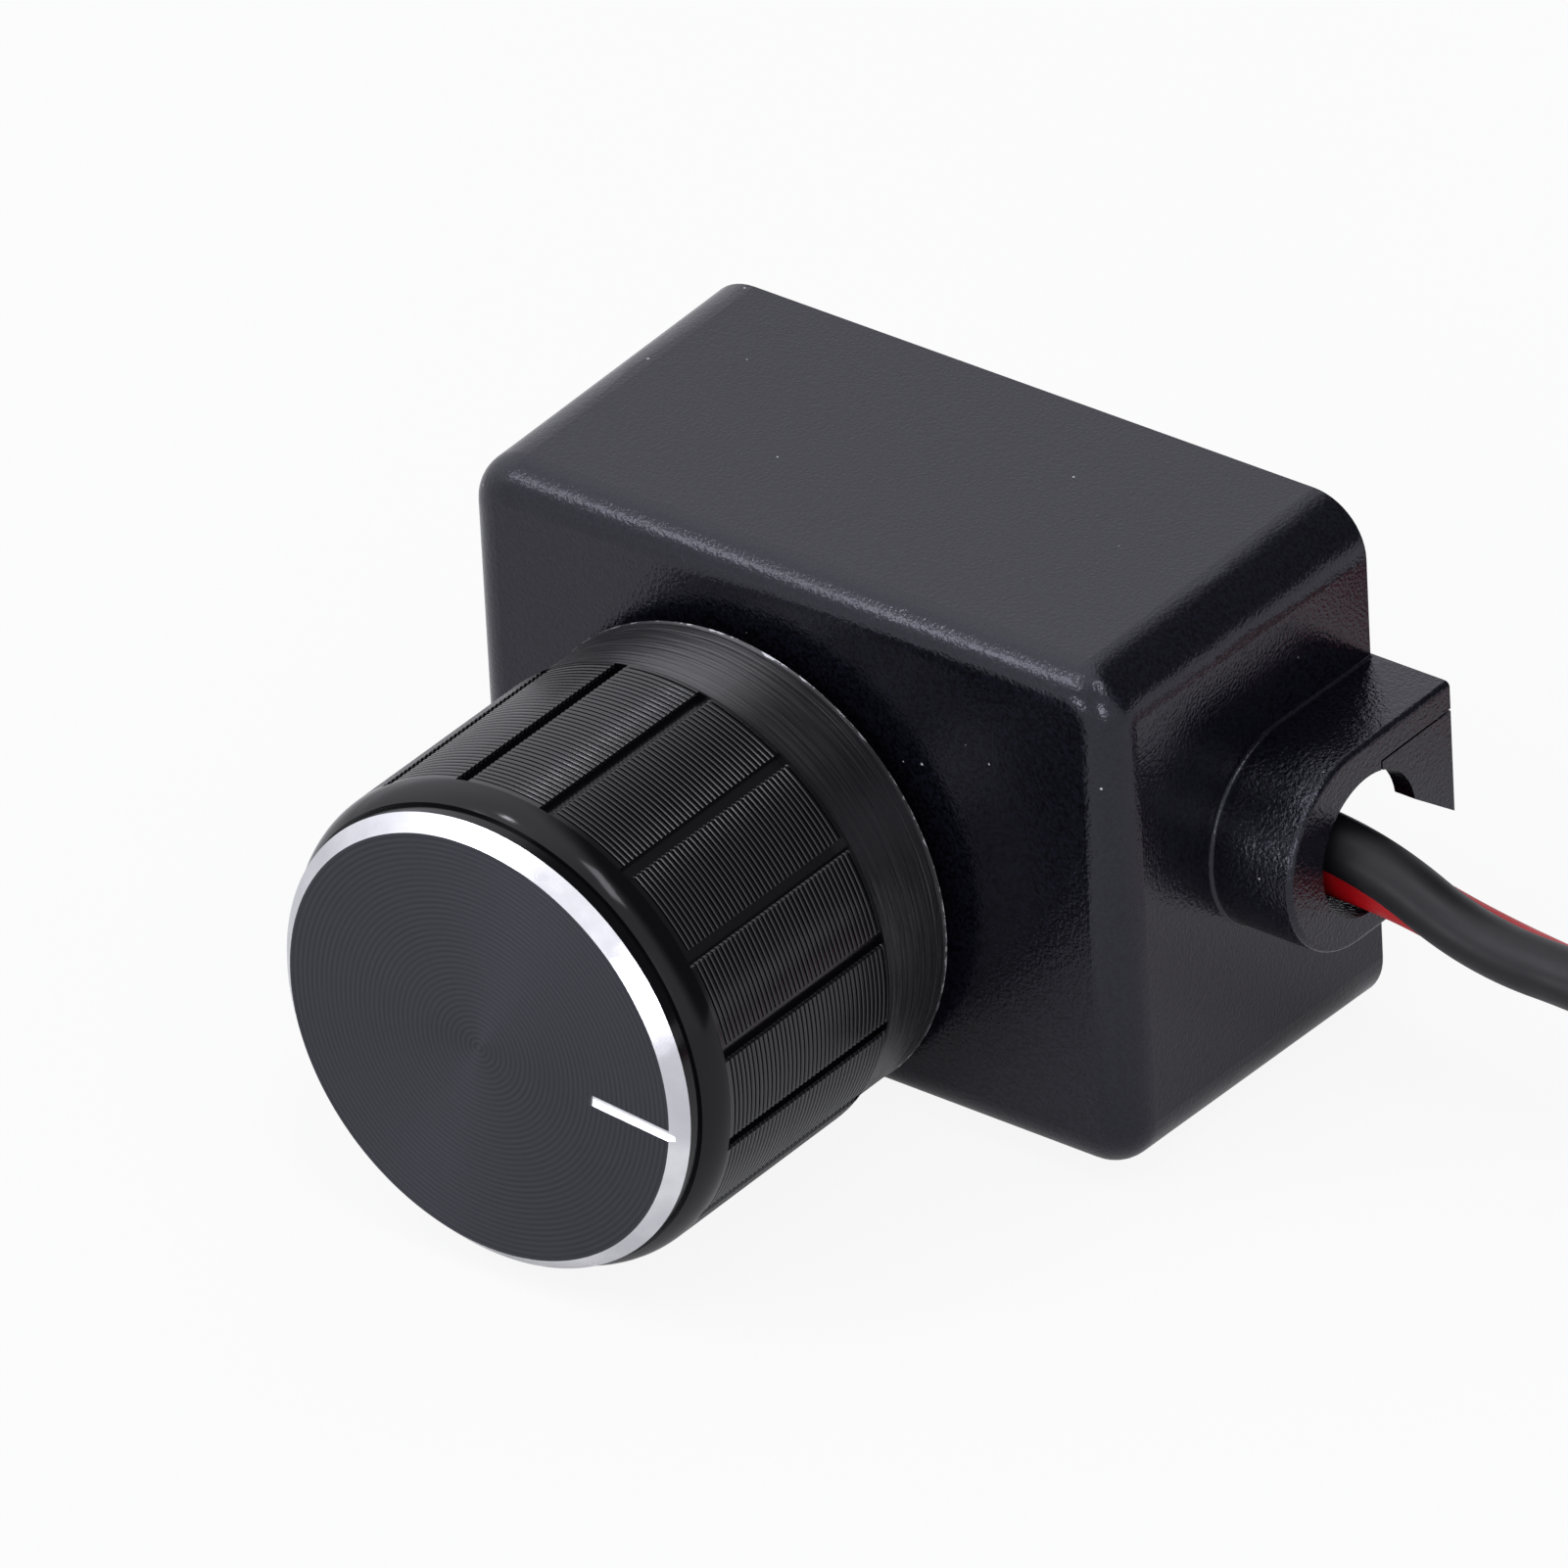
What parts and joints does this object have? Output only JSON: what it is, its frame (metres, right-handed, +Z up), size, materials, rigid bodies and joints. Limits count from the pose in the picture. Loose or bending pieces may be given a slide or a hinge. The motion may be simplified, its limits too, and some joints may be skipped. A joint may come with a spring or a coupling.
{
  "type": "led dimmer switch",
  "caption": "Inline LED dimmer: black moulded box with cable collars, a turned, grooved aluminium knob on a panel potentiometer, and a pair of supply leads.",
  "frame": {"origin": "where the shaft's axis meets the outer face of the rear cover", "axes": "-Y along the shaft towards the knob, +Y out of the back, +X towards the supply leads, +Z up"},
  "size_m": [0.0745, 0.0603, 0.0245],
  "materials": {
    "moulded_abs": "injection moulded black ABS, satin with fine spark texture",
    "black_anodised": "turned, milled and black anodised, with bright cut edges",
    "black_pvc": "extruded black PVC insulation, satin",
    "red_pvc": "extruded red PVC insulation, soft gloss",
    "tinned_copper": "tinned stranded copper",
    "green_laminate": "glass epoxy board under green solder mask",
    "zinc_casting": "die cast zinc, dull",
    "plated_steel": "stamped steel, zinc plated",
    "nickel_brass": "turned brass, nickel plated",
    "phenolic_paper": "punched phenolic paper, brown",
    "black_moulding": "black thermoset moulding, dull",
    "spring_bronze": "stamped phosphor bronze",
    "tin_solder": "reflowed tin solder, soft gloss",
    "can_aluminium": "deep drawn aluminium can",
    "tan_ceramic": "fired ceramic, tan"
  },
  "bodies": {
    "base": {"housing": "moulded_abs", "rear_cover": "moulded_abs", "circuit_board": "green_laminate", "pot_bushing": "zinc_casting", "pot_case": "black_moulding", "pot_wafer": "phenolic_paper", "pot_back": "plated_steel", "pot_terminals": "tinned_copper", "pot_washer": "plated_steel", "pot_nut": "nickel_brass", "black_lead": "black_pvc", "red_lead": "red_pvc", "black_lead_end": "tinned_copper", "red_lead_end": "tinned_copper", "lead_cores": "tinned_copper", "solder_joints": "tin_solder", "electrolytic_capacitor": "can_aluminium", "power_transistor": "black_moulding", "timer_chip": "black_moulding", "voltage_regulator": "black_moulding", "flyback_diode": "black_moulding", "chip_resistors": "black_moulding", "chip_capacitors": "tan_ceramic"},
    "knob": {"knob_shell": "black_anodised", "knob_insert": "black_moulding", "pot_shaft": "zinc_casting", "pot_rotor": "black_moulding", "wiper_contact": "spring_bronze", "retaining_ring": "plated_steel"}
  },
  "joints": [
    {"name": "knob_turn", "type": "hinge", "parent": "base", "child": "knob", "pos_m": [0, 0, 0], "axis": [0, -1, 0], "range_deg": [-55, 245]}
  ]
}
